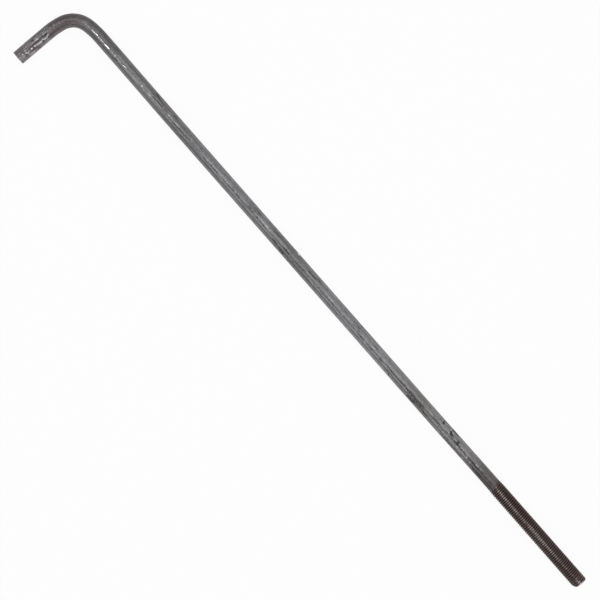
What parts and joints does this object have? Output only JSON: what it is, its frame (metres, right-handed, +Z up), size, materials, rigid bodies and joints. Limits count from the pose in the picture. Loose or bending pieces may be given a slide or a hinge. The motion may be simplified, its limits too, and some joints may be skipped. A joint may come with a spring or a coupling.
{
  "type": "anchor bolt",
  "caption": "L-shaped anchor bolt: long round steel rod bent square into a short leg, with a rolled thread at the other end, to be cast into concrete.",
  "frame": {"origin": "middle of the bolt's footprint as it lies flat, on the surface that it lies on", "axes": "+X along the shank towards the threaded tip, -Y the way the leg points, +Z up and square to the plane of shank and leg"},
  "size_m": [0.8004, 0.0862, 0.0159],
  "materials": {
    "plain_steel": "plain hot-rolled grey with mill scale, thread dark brown from rolling oil"
  },
  "bodies": {
    "root": {"anchor_bolt": "plain_steel"}
  },
  "joints": []
}
